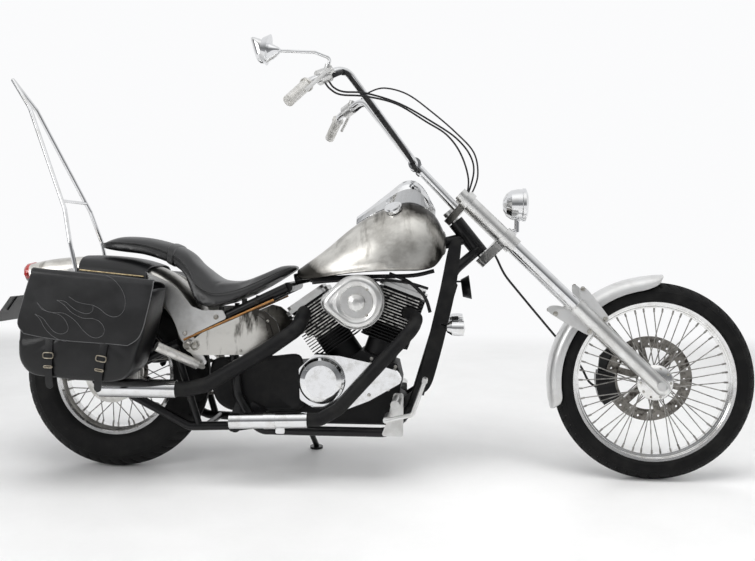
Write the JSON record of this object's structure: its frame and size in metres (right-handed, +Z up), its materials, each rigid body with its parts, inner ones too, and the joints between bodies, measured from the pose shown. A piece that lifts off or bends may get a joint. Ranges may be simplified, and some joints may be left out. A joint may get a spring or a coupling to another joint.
{
  "type": "motorcycle",
  "caption": "Long-forked chopper motorcycle parked on its side stand, with high bars, wire wheels, a vee engine, leather saddlebags and a tall pointed sissy bar.",
  "frame": {"origin": "on the ground, under the middle of the whole machine's bounding box as it stands parked", "axes": "+X to the front of the machine, +Y to its left, +Z up; the machine leans to +Y on its side stand"},
  "size_m": [2.6032, 0.9396, 1.4419],
  "materials": {
    "frame": "gloss",
    "swing_arm": "gloss",
    "rear_brake": "satin",
    "engine_cases": "satin",
    "engine_covers": "polished",
    "cylinders": "satin",
    "rocker_covers": "satin",
    "air_cleaner": "polished",
    "exhaust_headers": "matte",
    "mufflers": "polished",
    "radiator": "matte",
    "fuel_tank": "satin",
    "tank_console": "polished",
    "seat": "satin",
    "side_covers": "satin",
    "fender_struts": "satin",
    "rear_fender": "satin",
    "sissy_bar": "polished",
    "tail_lamp": "gloss",
    "number_plate": "satin",
    "saddlebags": "satin",
    "passenger_pegs": "satin",
    "foot_controls": "satin",
    "front_signals": "gloss",
    "horn": "matte",
    "drive_chain": "satin",
    "fork_yokes": "satin",
    "fork_tubes": "polished",
    "fork_covers": "satin",
    "fork_sliders": "satin",
    "front_axle": "satin",
    "front_fender": "gloss",
    "brake_caliper": "matte",
    "headlight": "polished",
    "handlebar": "polished",
    "bar_risers": "polished",
    "grips": "satin",
    "bar_controls": "satin",
    "rear_mirror": "polished",
    "front_tyre": "matte",
    "front_rim": "polished",
    "front_hub": "satin",
    "brake_disc": "satin",
    "rear_tyre": "matte",
    "rear_rim": "polished",
    "rear_hub": "satin",
    "rear_sprocket": "satin",
    "side_stand": "satin",
    "bag_flap_right": "satin",
    "bag_flap_left": "satin",
    "clutch_cable": "matte",
    "throttle_cable": "matte",
    "return_cable": "matte",
    "brake_hose": "matte"
  },
  "bodies": {
    "chassis": {"frame": "frame", "swing_arm": "swing_arm", "rear_brake": "rear_brake", "engine_cases": "engine_cases", "engine_covers": "engine_covers", "cylinders": "cylinders", "rocker_covers": "rocker_covers", "air_cleaner": "air_cleaner", "exhaust_headers": "exhaust_headers", "mufflers": "mufflers", "radiator": "radiator", "fuel_tank": "fuel_tank", "tank_console": "tank_console", "seat": "seat", "side_covers": "side_covers", "fender_struts": "fender_struts", "rear_fender": "rear_fender", "sissy_bar": "sissy_bar", "tail_lamp": "tail_lamp", "number_plate": "number_plate", "saddlebags": "saddlebags", "passenger_pegs": "passenger_pegs", "foot_controls": "foot_controls", "front_signals": "front_signals", "horn": "horn", "drive_chain": "drive_chain"},
    "fork": {"fork_yokes": "fork_yokes", "fork_tubes": "fork_tubes", "fork_covers": "fork_covers", "fork_sliders": "fork_sliders", "front_axle": "front_axle", "front_fender": "front_fender", "brake_caliper": "brake_caliper", "headlight": "headlight", "handlebar": "handlebar", "bar_risers": "bar_risers", "grips": "grips", "bar_controls": "bar_controls", "rear_mirror": "rear_mirror", "clutch_cable": "clutch_cable", "throttle_cable": "throttle_cable", "return_cable": "return_cable", "brake_hose": "brake_hose"},
    "front_wheel": {"front_tyre": "front_tyre", "front_rim": "front_rim", "front_hub": "front_hub", "brake_disc": "brake_disc"},
    "rear_wheel": {"rear_tyre": "rear_tyre", "rear_rim": "rear_rim", "rear_hub": "rear_hub", "rear_sprocket": "rear_sprocket"},
    "side_stand": {"side_stand": "side_stand"},
    "flap_right": {"bag_flap_right": "bag_flap_right"},
    "flap_left": {"bag_flap_left": "bag_flap_left"}
  },
  "joints": [
    {"name": "steering", "type": "hinge", "parent": "chassis", "child": "fork", "pos_m": [0.40051, -0.04146, 0.74027], "axis": [-0.6293, 0.0677, 0.7742], "range_deg": [-35, 35]},
    {"name": "front_spin", "type": "hinge", "parent": "fork", "child": "front_wheel", "pos_m": [0.9686, -0.07718, 0.33203], "axis": [0, 0.9962, -0.0872], "continuous": true},
    {"name": "rear_spin", "type": "hinge", "parent": "chassis", "child": "rear_wheel", "pos_m": [-0.8814, -0.0777, 0.32606], "axis": [0, 0.9962, -0.0872], "continuous": true},
    {"name": "stand_fold", "type": "hinge", "parent": "chassis", "child": "side_stand", "pos_m": [-0.2414, 0.04833, 0.13735], "axis": [0, 0.9205, 0.3907], "range_deg": [0, 95]},
    {"name": "right_flap_hinge", "type": "hinge", "parent": "chassis", "child": "flap_right", "pos_m": [-0.8344, -0.21032, 0.66892], "axis": [-0.9935, 0.0099, 0.1131], "range_deg": [0, 85]},
    {"name": "left_flap_hinge", "type": "hinge", "parent": "chassis", "child": "flap_left", "pos_m": [-0.8344, 0.11245, 0.64068], "axis": [0.9935, -0.0099, -0.1131], "range_deg": [0, 85]}
  ]
}
